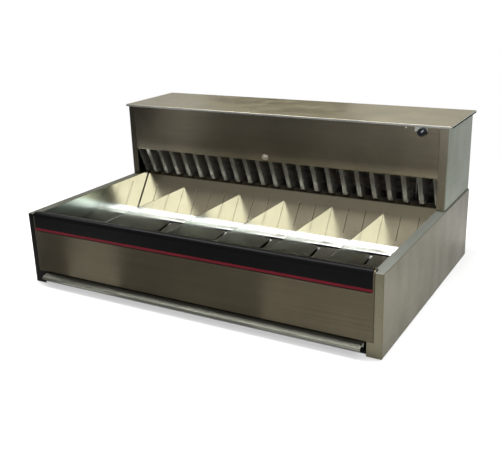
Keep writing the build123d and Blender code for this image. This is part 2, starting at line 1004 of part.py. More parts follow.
def make_scroll(side):
    """Blower housing with a round inlet in each cheek."""
    middle = side * scroll_place
    outside = scroll_outline(0.0)
    inside = scroll_outline(scroll_wall)
    with BuildPart() as scroll:
        with BuildSketch(Plane.YZ.offset(middle)):
            add(outside.sketch_local)
        extrude(amount=scroll_width / 2, both=True)
        with BuildSketch(Plane.YZ.offset(middle)):
            add(inside.sketch_local)
        extrude(amount=scroll_width / 2 - scroll_wall, both=True, mode=Mode.SUBTRACT)
        with BuildSketch(Plane.YZ.offset(middle)):
            with Locations((shaft_y, shaft_z)):
                Circle(inlet_radius)
        extrude(amount=scroll_width, both=True, mode=Mode.SUBTRACT)
    return scroll


def make_wheel(side):
    """Blower wheel: hub, web, end ring and a ring of blades."""
    middle = side * scroll_place
    blade_centre = wheel_radius - wheel_blade_height / 2
    with BuildPart() as wheel:
        with BuildSketch(Plane.YZ.offset(middle)):
            with Locations((shaft_y, shaft_z)):
                Circle(wheel_hub_radius)
        extrude(amount=wheel_width / 4, both=True)
        with BuildSketch(Plane.YZ.offset(middle)):
            with Locations((shaft_y, shaft_z)):
                Circle(wheel_radius)
        extrude(amount=sheet / 2, both=True)
        for end in (-1, 1):
            with BuildSketch(Plane.YZ.offset(middle + end * (wheel_width - sheet) / 2)):
                with Locations((shaft_y, shaft_z)):
                    Circle(wheel_radius)
                    Circle(wheel_radius - wheel_blade_height, mode=Mode.SUBTRACT)
            extrude(amount=sheet / 2, both=True)
        with BuildSketch(Plane.YZ.offset(middle)):
            with Locations((shaft_y, shaft_z)):
                with PolarLocations(blade_centre, wheel_blades):
                    Rectangle(wheel_blade_height, sheet)
        extrude(amount=wheel_width / 2, both=True)
        with BuildSketch(Plane.YZ.offset(middle)):
            with Locations((shaft_y, shaft_z)):
                Circle(shaft_radius)
        extrude(amount=wheel_width, both=True, mode=Mode.SUBTRACT)
    return wheel


scroll_housing_left = make_scroll(-1)
keep("scroll_housing_left", scroll_housing_left)
scroll_housing_right = make_scroll(1)
keep("scroll_housing_right", scroll_housing_right)
blower_wheel_left = make_wheel(-1)
keep("blower_wheel_left", blower_wheel_left)
blower_wheel_right = make_wheel(1)
keep("blower_wheel_right", blower_wheel_right)

with BuildPart() as blower_shaft:
    with BuildSketch(Plane.YZ):
        with Locations((shaft_y, shaft_z)):
            Circle(shaft_radius)
    extrude(amount=shaft_half, both=True)
keep("blower_shaft", blower_shaft)

with BuildPart() as blower_motor:
    with BuildSketch(Plane.YZ):
        with Locations((shaft_y, shaft_z)):
            Circle(motor_radius)
    extrude(amount=motor_half, both=True)
    fillet(blower_motor.edges().filter_by(GeomType.CIRCLE), 2 * bend)
    for fin in range(motor_fins):
        fin_x = (fin - (motor_fins - 1) / 2) * motor_fin_pitch
        with BuildSketch(Plane.YZ.offset(fin_x)):
            with Locations((shaft_y, shaft_z)):
                Circle(motor_radius + bend)
                Circle(motor_radius - bend, mode=Mode.SUBTRACT)
        extrude(amount=sheet, both=True, mode=Mode.SUBTRACT)
    with BuildSketch(Plane.YZ):
        with Locations((shaft_y, shaft_z)):
            Circle(shaft_radius + shaft_clearance)
    extrude(amount=motor_half, both=True, mode=Mode.SUBTRACT)
keep("blower_motor", blower_motor)

with BuildPart() as motor_saddle:
    with BuildSketch(Plane.YZ):
        with Locations((shaft_y, hood_floor_top)):
            Rectangle(
                saddle_width,
                scroll_radius - motor_radius + saddle_rise,
                align=(Align.CENTER, Align.MIN),
            )
        with Locations((shaft_y, shaft_z)):
            Circle(motor_radius, mode=Mode.SUBTRACT)
    extrude(amount=motor_half / 2, both=True)
keep("motor_saddle", motor_saddle)

# --- controls -----------------------------------------------------------------

plate_y = hood_y - plate_thickness
knob_back_y = plate_y - knob_gap

with BuildPart() as dial_plate:
    with BuildSketch(cross_plane(hood_y)):
        with Locations((plate_x, plate_low + plate_height / 2)):
            RectangleRounded(plate_width, plate_height, plate_corner)
        with Locations((knob_x, knob_height)):
            Circle(bushing_radius + bushing_clearance, mode=Mode.SUBTRACT)
    extrude(amount=plate_thickness)
keep("dial_plate", dial_plate)

with BuildPart() as switch_body:
    with BuildSketch(cross_plane(hood_y + sheet)):
        with Locations((knob_x, knob_height)):
            Rectangle(switch_size, switch_size)
    extrude(amount=-switch_depth)
    with BuildSketch(cross_plane(hood_y + sheet)):
        with Locations((knob_x, knob_height)):
            Circle(bushing_radius)
    extrude(amount=sheet)
    with BuildSketch(cross_plane(hood_y)):
        with Locations((knob_x, knob_height)):
            Circle(spindle_radius + spindle_clearance)
    extrude(amount=-spindle_depth, mode=Mode.SUBTRACT)
keep("switch_body", switch_body)

with BuildPart() as control_knob:
    with BuildSketch(cross_plane(knob_back_y)):
        with Locations((knob_x, knob_height)):
            Circle(knob_radius)
    extrude(amount=knob_length)
    fillet(control_knob.edges().sort_by(Axis.Y)[0], knob_edge)
    with BuildSketch(cross_plane(knob_back_y)):
        with Locations((knob_x, knob_height)):
            Circle(spindle_radius)
    extrude(amount=-(hood_y + spindle_depth - seat_gap - knob_back_y))
    with BuildSketch(cross_plane(knob_back_y - knob_length)):
        with Locations((knob_x, knob_height)):
            with Locations(Location((0, 0, 0), (0, 0, pointer_angle))):
                with Locations((pointer_length / 2 + pointer_inset, 0)):
                    Rectangle(pointer_length, pointer_width)
    extrude(amount=-pointer_depth, mode=Mode.SUBTRACT)
    with BuildSketch(cross_plane(knob_back_y - knob_length)):
        with Locations((knob_x, knob_height)):
            with PolarLocations(knob_radius + knob_flute_radius / 2, knob_flutes):
                Circle(knob_flute_radius)
    extrude(amount=-(knob_length - knob_skirt), mode=Mode.SUBTRACT)
keep("control_knob", control_knob)

with BuildPart() as knob_pointer:
    with BuildSketch(cross_plane(knob_back_y - knob_length)):
        with Locations((knob_x, knob_height)):
            with Locations(Location((0, 0, 0), (0, 0, pointer_angle))):
                with Locations((pointer_length / 2 + pointer_inset, 0)):
                    Rectangle(pointer_length, pointer_width)
    extrude(amount=-pointer_depth)
keep("knob_pointer", knob_pointer)

with BuildPart() as fascia_lock:
    with BuildSketch(cross_plane(hood_y)):
        with Locations((lock_x, lock_height)):
            SlotOverall(lock_width, lock_tall)
    extrude(amount=lock_thickness)
    fillet(fascia_lock.faces().sort_by(Axis.Y)[0].edges(), lock_thickness / 2)
    with BuildSketch(cross_plane(hood_y - lock_thickness)):
        with Locations((lock_x, lock_height)):
            Circle(lock_screw_radius)
    extrude(amount=lock_thickness)
    with BuildSketch(cross_plane(hood_y)):
        with Locations((lock_x, lock_height)):
            Circle(screw_shank)
    extrude(amount=-3 * sheet)
keep("fascia_lock", fascia_lock)

with BuildPart() as fascia_screw:
    with BuildSketch(cross_plane(hood_y)):
        with Locations((fascia_screw_x, fascia_screw_height)):
            Circle(fascia_screw_radius)
    extrude(amount=fascia_screw_head)
    with BuildSketch(cross_plane(hood_y)):
        with Locations((fascia_screw_x, fascia_screw_height)):
            Circle(screw_shank)
    extrude(amount=-3 * sheet)
keep("fascia_screw", fascia_screw)

with BuildPart() as limit_thermostat:
    with BuildSketch(Plane.XY.offset(fascia_bottom + 2 * sheet)):
        with Locations((thermostat_x, back(thermostat_depth))):
            Circle(thermostat_radius)
    extrude(amount=thermostat_height)
    fillet(limit_thermostat.edges().sort_by(Axis.Z)[-1], thermostat_edge)
keep("limit_thermostat", limit_thermostat)

# --- supply -------------------------------------------------------------------

with BuildPart() as cord_gland:
    with BuildSketch(cross_plane(rear_y + sheet)):
        with Locations((gland_x, gland_height)):
            RegularPolygon(gland_hex, 6)
    extrude(amount=-(gland_reach - sheet))
    with BuildSketch(cross_plane(rear_y + sheet)):
        with Locations((gland_x, gland_height)):
            Circle(gland_thread)
    extrude(amount=gland_tail)
    with BuildSketch(cross_plane(rear_y + gland_reach)):
        with Locations((gland_x, gland_height)):
            Circle(gland_bore)
    extrude(amount=gland_reach + gland_tail, mode=Mode.SUBTRACT)
keep("cord_gland", cord_gland)

with BuildPart() as gland_locknut:
    with BuildSketch(cross_plane(rear_y)):
        with Locations((gland_x, gland_height)):
            RegularPolygon(gland_hex, 6)
            Circle(gland_thread, mode=Mode.SUBTRACT)
    extrude(amount=gland_nut)
keep("gland_locknut", gland_locknut)

with BuildPart() as terminal_block:
    with BuildSketch(Plane.XY.offset(2 * sheet)):
        with Locations((gland_x, back(block_depth))):
            Rectangle(block_size[0], block_size[1])
    extrude(amount=block_size[2])
    with BuildSketch(Plane.XY.offset(2 * sheet + block_size[2])):
        with Locations((gland_x, back(block_depth))):
            with GridLocations(block_size[0] / 3, block_size[1] / 2, 3, 2):
                Rectangle(block_size[0] / 4, block_size[1] / 4)
    extrude(amount=-block_size[2] / 2, mode=Mode.SUBTRACT)
keep("terminal_block", terminal_block)
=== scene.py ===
from math import cos, pi, radians, sin

import bpy
from mathutils import Matrix, Vector

# Looks of a countertop holding station for fried food, in folded stainless steel.
# Metres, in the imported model's frame: X along the front, +Y to the rear, +Z up.

RIGHT = (1, 0, 0)
FRONT = (0, -1, 0)
UP = (0, 0, 1)

# --- camera, in the photograph's place ------------------------------------------------

CAMERA_PLACE = Vector((0.9784, -1.7023, 0.7944))
CAMERA_AZIMUTH = 30.195  # degrees, to the right of the front
CAMERA_ELEVATION = 18.677
CAMERA_ROLL = -1.860
FOCAL_PIXELS = 736.2
PHOTO_WIDTH = 500  # pixels
SENSOR = 36.0  # millimetres

# --- studio: its sizes, lights and cards ----------------------------------------------

FLOOR_FRONT = -1.0
FLOOR_BACK = 3.6
FLOOR_LEFT = -6.5
FLOOR_RIGHT = 4.5
SWEEP_RADIUS = 0.8
WALL_HEIGHT = 4.0
SWEEP_STEPS = 12

PAINT_TONE = 0.88
PAINT_ROUGHNESS = 0.95
CONTACT_RADIUS = 0.75  # the floor shows its light and shadow as far out as this,
CONTACT_WHITE = 0.45  # mixed with this share of plain white,
WHITE_RADIUS = 1.5  # and is plain white from here on

WORLD_TINT = (0.98, 0.99, 1.0, 1)
WORLD_LEVEL = 0.30  # as the object's light
WORLD_WHITE = 1.02  # as the camera sees it
WHITE = (1, 1, 1, 1)

# Soft boxes: name, place, the point it faces, width and height, level.
SOFT_BOXES = (
    ("overhead_strip_light", (-0.4, -0.05, 2.3), (-0.4, -0.05, 0.0), (3.2, 0.5), 30.0),
    ("key_light", (1.9, -1.9, 2.3), (0.0, -0.1, 0.1), (1.9, 1.5), 3.8),
    ("left_strip_light", (-1.55, -1.7, 0.75), (-0.3, 0.0, 0.3), (0.26, 1.2), 1.2),
    ("front_wide_light", (-0.2, -2.6, 0.8), (-0.2, 0.0, 0.8), (1.7, 1.5), 0.6),
    ("front_right_light", (0.15, -2.5, 0.8), (0.15, 0.0, 0.8), (1.1, 1.5), 1.2),
)

# Cards on the floor. Edges: the y of the edge nearer the object, and of the one further out.
# Seams, from left to right: the x at the nearer edge, and at the one further out.
CARD_HEIGHT = 0.002
LEFT_CARD_LEVEL = 0.12
LEFT_CARD_EDGES = (-0.5, -1.9)
LEFT_CARD_SEAMS = ((-2.6, -2.6), (-0.82, -1.84))
FRONT_CARD_LEVELS = (("front_left_card", 0.6), ("front_pale_card", 2.0), ("front_grey_card", 0.85))
FRONT_CARD_EDGES = (-0.36, -0.8)
FRONT_CARD_SEAMS = ((-0.52, -1.0), (-0.39, -0.835), (-0.215, -0.61), (0.21, -0.045))

# Upright cards: name, left, right, low, high, y, level.
UPRIGHT_CARDS = (
    ("left_wall_card", -3.4, -1.72, 0.0, 2.4, -1.75, 0.02),
    ("back_card", -2.12, -0.95, 0.2, 2.6, 3.0, 0.05),
)

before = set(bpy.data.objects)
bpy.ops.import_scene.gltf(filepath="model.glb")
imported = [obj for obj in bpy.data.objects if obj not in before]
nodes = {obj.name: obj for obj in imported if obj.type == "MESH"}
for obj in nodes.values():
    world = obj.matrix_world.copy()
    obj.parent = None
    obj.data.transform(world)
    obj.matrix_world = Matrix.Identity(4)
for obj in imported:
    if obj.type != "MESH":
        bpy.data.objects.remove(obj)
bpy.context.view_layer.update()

# --- node-tree helpers ----------------------------------------------------------------

NOISE_SPAN = (0.3, 0.7)  # most of a noise's values lie in this span
WHOLE_SPAN = (0.0, 1.0)
MIX_FACTOR, MIX_FIRST, MIX_SECOND, MIX_RESULT = 0, 4, 5, 1  # a Mix node's vector sockets


def add_node(tree, kind, inputs=None, **settings):
    """New shader node; an input takes a value or another node's output."""
    made = tree.nodes.new(kind)
    for name, value in settings.items():
        setattr(made, name, value)
    for key, value in (inputs or {}).items():
        if isinstance(value, bpy.types.NodeSocket):
            tree.links.new(value, made.inputs[key])
        else:
            made.inputs[key].default_value = value
    return made


def new_material(name):
    """Node material, with its tree and its Principled shader."""
    material = bpy.data.materials.new(name)
    material.use_nodes = True
    tree = material.node_tree
    return material, tree, tree.nodes["Principled BSDF"]


def surface_input(tree):
    return tree.nodes["Material Output"].inputs["Surface"]


def object_place(tree):
    """Where a point of a piece lies at rest, in metres."""
    return add_node(tree, "ShaderNodeTexCoord").outputs["Object"]


def face_normal(tree):
    return add_node(tree, "ShaderNodeNewGeometry").outputs["Normal"]


def noise(tree, place, scale, detail, roughness, stretch=(1, 1, 1)):
    """Noise value 0..1 at a place, squeezed by stretch."""
    squeezed = add_node(tree, "ShaderNodeMapping", {"Vector": place, "Scale": stretch})
    made = add_node(
        tree,
        "ShaderNodeTexNoise",
        {"Vector": squeezed.outputs["Vector"], "Scale": scale, "Detail": detail, "Roughness": roughness},
    )
    return made.outputs["Fac"]


def ranged(tree, value, low, high, span=NOISE_SPAN):
    """Value carried from its span to low..high, clamped."""
    start, end = span
    made = add_node(
        tree,
        "ShaderNodeMapRange",
        {"Value": value, "From Min": start, "From Max": end, "To Min": low, "To Max": high},
    )
    return made.outputs["Result"]


def maths(tree, operation, first, second):
    made = add_node(tree, "ShaderNodeMath", {0: first, 1: second}, operation=operation)
    return made.outputs["Value"]


def vector_maths(tree, operation, first, second):
    return add_node(tree, "ShaderNodeVectorMath", {0: first, 1: second}, operation=operation)


def varied(tree, tone, value, low, high, span=NOISE_SPAN):
    """Tone multiplied by a factor low..high that follows a value over its span."""
    return maths(tree, "MULTIPLY", tone, ranged(tree, value, low, high, span))


def scaled_colour(tree, colour, factor):
    """A colour multiplied by a factor that varies over the surface."""
    made = add_node(tree, "ShaderNodeVectorMath", {0: colour, "Scale": factor}, operation="SCALE")
    return made.outputs["Vector"]


def mixed_colour(tree, factor, first, second):
    """The first colour where the factor is 0, the second where it is 1."""
    made = add_node(
        tree,
        "ShaderNodeMix",
        {MIX_FACTOR: factor, MIX_FIRST: first, MIX_SECOND: second},
        data_type="VECTOR",
    )
    return made.outputs[MIX_RESULT]


def bump(tree, shader, height, strength, distance):
    made = add_node(
        tree,
        "ShaderNodeBump",
        {"Height": height, "Strength": strength, "Distance": distance},
    )
    tree.links.new(made.outputs["Normal"], shader.inputs["Normal"])
    return made


# --- kinds of surface -----------------------------------------------------------------

GRAIN_STRETCH = {"X": (1, 90, 90), "Y": (90, 1, 90), "Z": (90, 90, 1)}
GRAIN_LINE = {"X": (1, 0, 0), "Y": (0, 1, 0), "Z": (0, 0, 1)}
FACING_COSINES = (0.6, 0.9)

EDGE_RADIUS = 0.0012
EDGE_SAMPLES = 4
EDGE_COSINES = (0.80, 0.995)
# How much lighter the tone is along sharp edges: polished metal, and a painted highlight.
EDGE_POLISH_AND_HIGHLIGHT = 0.35

# Noises: scale, detail and roughness, and for some a stretch.
BROAD_STREAKS = (3.2, 4.0, 0.6)
FINE_STREAKS = (14.0, 3.0, 0.7)
SMUDGE_MARKS = (5.5, 5.0, 0.62)
WIPE_MARKS = (17.0, 3.0, 0.6, (1, 1, 0.35))
TONE_CLOUDS = (1.7, 2.0, 0.45)
DULL_PATCHES = (9.0, 4.0, 0.6)
DUST = (12.0, 5.0, 0.65)
RUBBED_PATCHES = (4.0, 3.0, 0.5, (0.4, 1, 1))
HEAT_STAINS = (6.0, 3.0, 0.6)

CLOUD_SPAN = (0.38, 0.62)
BRUSHING_DEPTH = 0.0002

SPANGLE_SCALE = 95.0
SPANGLE_TONES = (0.82, 1.15)
SPANGLE_SPREAD = 0.1
DULL_TONES = (0.85, 1.08)
ZINC_RELIEF = 0.1
ZINC_DEPTH = 0.0003

GRAIN_DETAIL = 2.0
GRAIN_ROUGHNESS = 0.5
GRAIN_TONES = (0.92, 1.08)
GRAIN_RELIEF = 0.5
DUST_TONES = (0.9, 1.2)
DUST_DULLING = (0.0, 0.08)
RUBBED_SPREAD = 0.06

# Heat tints: where the tint lies on the ramp, and its colour.
HEAT_GREY = (0.35, (0.09, 0.08, 0.07, 1))
HEAT_STRAW = (0.52, (0.08, 0.05, 0.03, 1))
HEAT_BLUE = (0.68, (0.04, 0.045, 0.07, 1))
SHEATH_ROUGHNESS = (0.35, 0.55)


def edge_mask(tree, rounded):
    """1 along sharp edges, 0 on flat sheet."""
    same = vector_maths(tree, "DOT_PRODUCT", rounded, face_normal(tree))
    return ranged(tree, same.outputs["Value"], 1.0, 0.0, EDGE_COSINES)


def facing_mask(tree, direction, limits=FACING_COSINES):
    """1 on faces that look in a direction, 0 on the others; limits are cosines."""
    same = vector_maths(tree, "DOT_PRODUCT", face_normal(tree), direction)
    return ranged(tree, same.outputs["Value"], 0.0, 1.0, limits)


def steel(
    name,
    colour,
    grain,
    rough,
    spread=0.06,
    streaks=0.12,
    smudges=0.10,
    across=0.0,
    relief=0.25,
    cloud=0.0,
    painted_light_by_facing=(),
    painted_light_limits=FACING_COSINES,
    top_dulling=0.0,
    metal=1.0,
    painted_band=None,
):
    """Brushed stainless: streaks along the grain, hand smudges, polished edges with a painted highlight.

    across widens highlights across the grain, cloud varies the tone over a hand's breadth,
    (direction, colour) pairs paint light or shade on the faces that look in each direction,
    top_dulling is added to the roughness of faces that look up, and a painted strip of light
    or shade changes the tone between two heights, from a factor below them to a factor above them.
    """
    material, tree, shader = new_material(name)
    place = object_place(tree)
    bevel = add_node(tree, "ShaderNodeBevel", {"Radius": EDGE_RADIUS}, samples=EDGE_SAMPLES)
    rounded = bevel.outputs["Normal"]
    polished_and_lit_edges = edge_mask(tree, rounded)
    broad = noise(tree, place, *BROAD_STREAKS, GRAIN_STRETCH[grain])
    fine = noise(tree, place, *FINE_STREAKS, GRAIN_STRETCH[grain])
    smudge = noise(tree, place, *SMUDGE_MARKS)
    wiped = noise(tree, place, *WIPE_MARKS)

    tone = ranged(tree, broad, 1 - streaks, 1 + streaks)
    tone = varied(tree, tone, fine, 1 - streaks / 2, 1 + streaks / 2)
    tone = varied(tree, tone, smudge, 1 - smudges, 1 + smudges)
    if cloud:
        tone = varied(tree, tone, noise(tree, place, *TONE_CLOUDS), 1 - cloud, 1 + cloud, CLOUD_SPAN)
    # Lighter along sharp edges: polish, and a painted highlight.
    tone = varied(tree, tone, polished_and_lit_edges, 1.0, 1 + EDGE_POLISH_AND_HIGHLIGHT, WHOLE_SPAN)
    # A painted highlight or painted shade between two heights.
    if painted_band:
        low, high, below, above = painted_band
        height = add_node(tree, "ShaderNodeSeparateXYZ", {"Vector": place}).outputs["Z"]
        tone = varied(tree, tone, height, below, above, (low, high))
    # Faces that look in a given direction get a tone of their own: painted light or painted shade.
    for direction, painted_tone in painted_light_by_facing:
        colour = mixed_colour(tree, facing_mask(tree, direction, painted_light_limits), colour, painted_tone)
    tree.links.new(scaled_colour(tree, colour, tone), shader.inputs["Base Color"])

    gloss = ranged(tree, fine, rough - spread, rough + spread)
    gloss = maths(tree, "ADD", gloss, ranged(tree, wiped, -spread / 2, spread))
    if top_dulling:
        dulled = maths(tree, "MULTIPLY", facing_mask(tree, UP), top_dulling)
        gloss = maths(tree, "ADD", gloss, dulled)
    tree.links.new(gloss, shader.inputs["Roughness"])
    shader.inputs["Metallic"].default_value = metal

    if across:
        shader.inputs["Anisotropic"].default_value = across
        tangent = vector_maths(tree, "CROSS_PRODUCT", face_normal(tree), GRAIN_LINE[grain])
        tree.links.new(tangent.outputs["Vector"], shader.inputs["Tangent"])
    texture = bump(tree, shader, fine, relief, BRUSHING_DEPTH)
    tree.links.new(rounded, texture.inputs["Normal"])
    return material


def coated_zinc(name, colour, rough=0.42):
    """Zinc-coated sheet with its crystal spangle."""
    material, tree, shader = new_material(name)
    place = object_place(tree)
    spangle = add_node(
        tree, "ShaderNodeTexVoronoi", {"Vector": place, "Scale": SPANGLE_SCALE, "Randomness": 1.0}
    )
    grey = add_node(tree, "ShaderNodeRGBToBW", {"Color": spangle.outputs["Color"]}).outputs["Val"]
    dull = noise(tree, place, *DULL_PATCHES)
    tone = varied(tree, ranged(tree, grey, *SPANGLE_TONES, WHOLE_SPAN), dull, *DULL_TONES)
    tree.links.new(scaled_colour(tree, colour, tone), shader.inputs["Base Color"])
    gloss = ranged(tree, grey, rough - SPANGLE_SPREAD, rough + SPANGLE_SPREAD, WHOLE_SPAN)
    tree.links.new(gloss, shader.inputs["Roughness"])
    shader.inputs["Metallic"].default_value = 1.0
    bump(tree, shader, dull, ZINC_RELIEF, ZINC_DEPTH)
    return material


def moulded(name, colour, rough, grain_scale, depth=0.00006, coat=0.0, shine=0.5):
    """Plastic or enamel: fine moulded grain, dust and rubbed patches."""
    material, tree, shader = new_material(name)
    place = object_place(tree)
    grain = noise(tree, place, grain_scale, GRAIN_DETAIL, GRAIN_ROUGHNESS)
    dust = noise(tree, place, *DUST)
    rub = noise(tree, place, *RUBBED_PATCHES)
    tone = varied(tree, ranged(tree, dust, *DUST_TONES), grain, *GRAIN_TONES)
    tree.links.new(scaled_colour(tree, colour, tone), shader.inputs["Base Color"])
    gloss = ranged(tree, rub, rough - RUBBED_SPREAD, rough + RUBBED_SPREAD)
    gloss = maths(tree, "ADD", gloss, ranged(tree, dust, *DUST_DULLING))
    tree.links.new(gloss, shader.inputs["Roughness"])
    shader.inputs["Coat Weight"].default_value = coat
    shader.inputs["Specular IOR Level"].default_value = shine
    bump(tree, shader, grain, GRAIN_RELIEF, depth)
    return material


def heater_sheath(name):
    """Steel sheath, tinted grey, straw and blue by heat."""
    material, tree, shader = new_material(name)
    heat = noise(tree, object_place(tree), *HEAT_STAINS)
    tint = add_node(tree, "ShaderNodeValToRGB", {"Fac": heat})
    ramp = tint.color_ramp.elements
    ramp[0].position, ramp[0].color = HEAT_GREY
    ramp[1].position, ramp[1].color = HEAT_BLUE
    straw_position, straw_colour = HEAT_STRAW
    ramp.new(straw_position).color = straw_colour
    tree.links.new(tint.outputs["Color"], shader.inputs["Base Color"])
    tree.links.new(ranged(tree, heat, *SHEATH_ROUGHNESS), shader.inputs["Roughness"])
    shader.inputs["Metallic"].default_value = 1.0
    return material


# --- what each piece is made of -------------------------------------------------------

DIVIDERS = [name for name in nodes if name.startswith("divider_")]
SCREENS = [name for name in nodes if name.startswith("product_screen_")]

# Painted strips of light and shade: two heights, and the tone's factor below and above them.
# A painted highlight along the foot of the fascia, and painted shade along the top of the trough's back
# wall under the vanes.
FASCIA_FOOT_HIGHLIGHT = (0.288, 0.312, 1.9, 1.0)
TROUGH_BACK_SHADE = (0.190, 0.193, 1.0, 0.08)

# Base sides: side, tone of the rim on top, tone of the edge in front. These tones are painted light: a
# painted highlight on the right side, painted shade on the left.
BASE_SIDES = (
    ("left", (0.085, 0.083, 0.066), (0.005, 0.005, 0.004)),
    ("right", (0.165, 0.172, 0.15), (0.125, 0.115, 0.08)),
)
# Hood sides: side, tone of the edge in front, which is painted light: painted shade on the left, a painted
# highlight on the right.
HOOD_SIDES = (("left", (0.06, 0.055, 0.04)), ("right", (0.21, 0.19, 0.145)))


def dress(material, *names):
    """Give CAD nodes this material."""
    for name in names:
        for slot in nodes[name].material_slots:
            slot.material = material


def sided(stem):
    return (f"{stem}_left", f"{stem}_right")


def dress_body():
    """Sheets of the base and the hood, and the tray whose lip runs along the front."""
    dress(
        steel(
            "front_steel",
            (0.064, 0.055, 0.036),
            grain="X",
            rough=0.24,
            spread=0.02,
            across=1.0,
            cloud=0.08,
        ),
        "front_panel",
    )
    dress(
        steel(
            "fascia_steel",
            (0.138, 0.123, 0.090),
            grain="X",
            rough=0.22,
            spread=0.02,
            across=1.0,
            cloud=0.06,
            painted_band=FASCIA_FOOT_HIGHLIGHT,
        ),
        "hood_fascia",
    )
    dress(
        steel(
            "lid_steel",
            (0.166, 0.149, 0.098),
            grain="X",
            rough=0.36,
            across=0.8,
            cloud=0.06,
            # The front skirt gets painted shade and the right edge a painted highlight.
            painted_light_by_facing=[(FRONT, (0.36, 0.36, 0.34)), (RIGHT, (0.70, 0.72, 0.68))],
        ),
        "top_cover",
    )
    # Lit and shaded copies of the side steel, one for each side, with painted tones on the rim and the
    # front edge.
    for side, rim_painted_light, front_edge_painted_light in BASE_SIDES:
        dress(
            steel(
                f"side_steel_{side}",
                (0.098, 0.089, 0.045),
                grain="Y",
                rough=0.36,
                painted_light_by_facing=[(UP, rim_painted_light), (FRONT, front_edge_painted_light)],
                top_dulling=0.25,
            ),
            f"base_side_{side}",
        )
    # Lit and shaded copies of the hood side steel, one for each side.
    for side, front_edge_painted_light in HOOD_SIDES:
        dress(
            steel(
                f"hood_side_steel_{side}",
                (0.128, 0.152, 0.108),
                grain="Y",
                rough=0.36,
                painted_light_by_facing=[(FRONT, front_edge_painted_light)],
            ),
            f"hood_side_{side}",
        )
    dress(
        steel("rear_steel", (0.33, 0.31, 0.26), grain="X", rough=0.38, cloud=0.1),
        "hood_rear_panel",
        "base_rear_panel",
    )
    dress(steel("tray_steel", (0.145, 0.145, 0.12), grain="X", rough=0.34), "crumb_tray")


def dress_trough():
    """Trough with its dividers and screens, and the vanes between it and the hood."""
    for part, painted_band in (("front", None), ("back", TROUGH_BACK_SHADE)):
        dress(
            steel(
                f"trough_{part}_steel",
                (0.39, 0.345, 0.24),
                grain="X",
                rough=0.30,
                spread=0.03,
                streaks=0.03,
                smudges=0.05,
                relief=0.03,
                # Faces that look up get painted shade.
                painted_light_by_facing=[(UP, (0.04, 0.037, 0.03))],
                painted_band=painted_band,
            ),
            f"trough_{part}",
        )
    dress(
        steel(
            "cove_steel",
            (0.92, 0.92, 0.90),
            grain="X",
            rough=0.29,
            spread=0.03,
            streaks=0.04,
            smudges=0.04,
            across=0.7,
            relief=0.05,
            # The folded face that looks to the front gets painted shade.
            painted_light_by_facing=[(FRONT, (0.02, 0.02, 0.02))],
            painted_light_limits=(0.93, 0.98),
        ),
        "trough_cove",
    )
    dress(
        steel(
            "end_steel",
            (0.73, 0.78, 0.75),
            grain="Z",
            rough=0.12,
            spread=0.02,
            streaks=0.04,
            smudges=0.04,
            relief=0.03,
        ),
        *sided("trough_end"),
        *DIVIDERS,
    )
    dress(
        steel(
            "screen_steel",
            (0.058, 0.056, 0.048),
            grain="Y",
            rough=0.33,
            spread=0.05,
            streaks=0.12,
            smudges=0.15,
            relief=0.08,
        ),
        *SCREENS,
    )
    dress(
        steel(
            "vane_steel",
            (0.50, 0.48, 0.41),
            grain="Z",
            rough=0.22,
            spread=0.03,
            streaks=0.10,
            smudges=0.08,
            metal=0.8,
            # Faces that look to the front get painted shade.
            painted_light_by_facing=[(FRONT, (0.30, 0.288, 0.25))],
        ),
        "air_vanes",
        *sided("vane_end"),
    )


def dress_metalwork():
    """Screws, lock, shaft, zinc-coated pieces and heater."""
    dress(
        steel(
            "bright_steel",
            (0.60, 0.59, 0.56),
            grain="X",
            rough=0.22,
            spread=0.05,
            streaks=0.04,
            smudges=0.04,
        ),
        "fascia_screw",
        "blower_shaft",
        "rear_screws",
        "fascia_lock",
    )
    dress(
        coated_zinc("zinc_sheet", (0.50, 0.51, 0.52)),
        "base_pan",
        "motor_saddle",
        "limit_thermostat",
        "gland_locknut",
        *sided("tray_runner"),
        *sided("heater_bracket"),
        *sided("scroll_housing"),
        *sided("blower_wheel"),
    )
    # Plenum and hood floor: zinc painted dark, painted shade for the inside of the hood.
    dress(coated_zinc("painted_shade_zinc", (0.10, 0.095, 0.09), rough=0.6), "plenum_box", "hood_floor")
    dress(heater_sheath("heater_sheath"), "heater_element")


def dress_fittings():
    """Trim, knob, gland and the electrical parts."""
    dress(
        moulded("black_trim", (0.002, 0.002, 0.0022), rough=0.34, grain_scale=700.0, shine=0.05),
        "edge_trim",
    )
    dress(
        moulded("red_line", (0.085, 0.003, 0.007), rough=0.4, grain_scale=700.0, shine=0.08),
        "red_stripe",
    )
    dress(
        moulded("black_plastic", (0.004, 0.005, 0.008), rough=0.32, grain_scale=1400.0, shine=0.2),
        "control_knob",
        "switch_body",
        "cord_gland",
    )
    dress(moulded("white_mark", (0.42, 0.46, 0.50), rough=0.4, grain_scale=900.0), "knob_pointer")
    dress(steel("label_plate", (0.40, 0.40, 0.38), grain="X", rough=0.35), "dial_plate")
    dress(moulded("cream_plastic", (0.70, 0.66, 0.54), rough=0.35, grain_scale=900.0), "terminal_block")
    dress(
        moulded(
            "motor_enamel", (0.05, 0.055, 0.06), rough=0.35, grain_scale=500.0, depth=0.0001, coat=0.2
        ),
        "blower_motor",
    )


# --- studio: how it is built ----------------------------------------------------------


